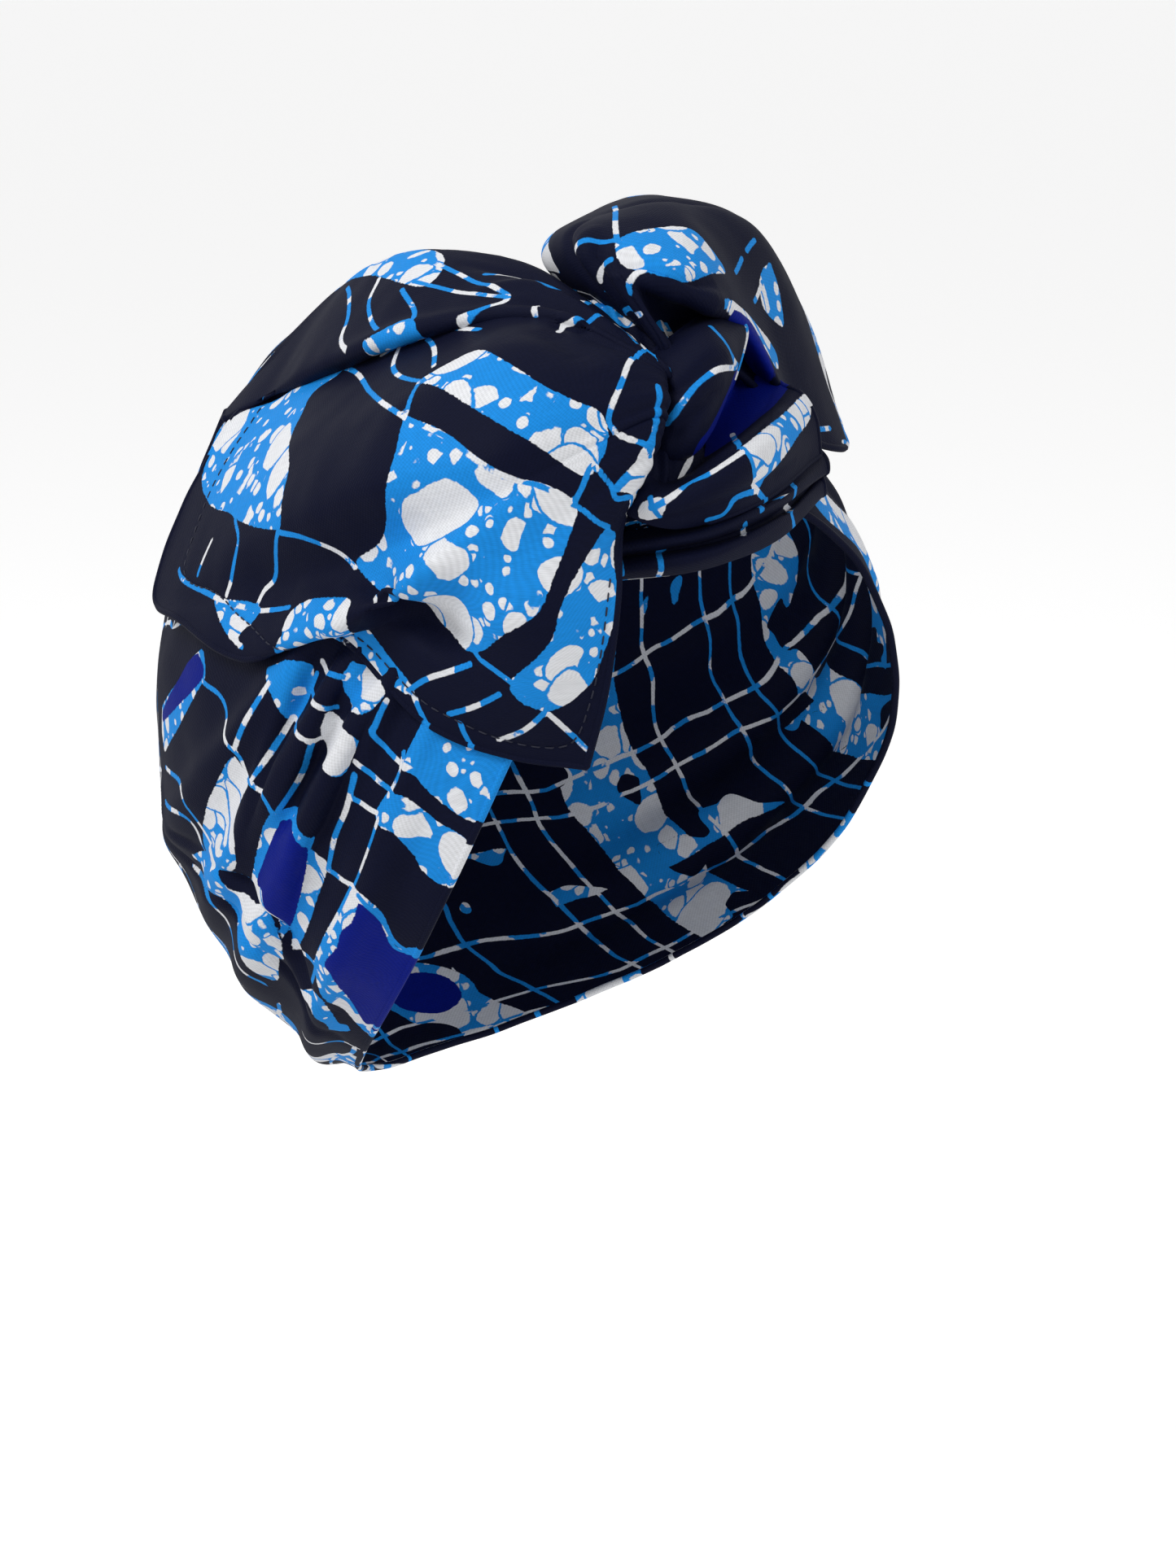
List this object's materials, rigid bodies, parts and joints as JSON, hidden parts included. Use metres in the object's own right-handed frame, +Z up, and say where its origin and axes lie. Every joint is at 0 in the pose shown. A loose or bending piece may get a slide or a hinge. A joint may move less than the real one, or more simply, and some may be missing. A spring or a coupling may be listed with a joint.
{
  "type": "wired head wrap",
  "caption": "Wide wired cloth head wrap in blue wax print, twisted at the front top into two opened wings, a small pouch and a forehead roll, shaped as worn.",
  "frame": {"origin": "middle of the head's hollow, level with the upper ears", "axes": "+Z up, the wearer faces -Y, the wearer's right is -X"},
  "size_m": [0.1849, 0.2268, 0.248],
  "materials": {
    "wax_print_cotton": "plain-weave cotton with a faint sheen, printed in navy, sky blue, royal blue and off-white"
  },
  "bodies": {
    "root": {"head_band": "wax_print_cotton", "twist_knot": "wax_print_cotton", "near_wing": "wax_print_cotton", "far_wing": "wax_print_cotton", "front_fold": "wax_print_cotton", "forehead_roll": "wax_print_cotton"}
  },
  "joints": []
}
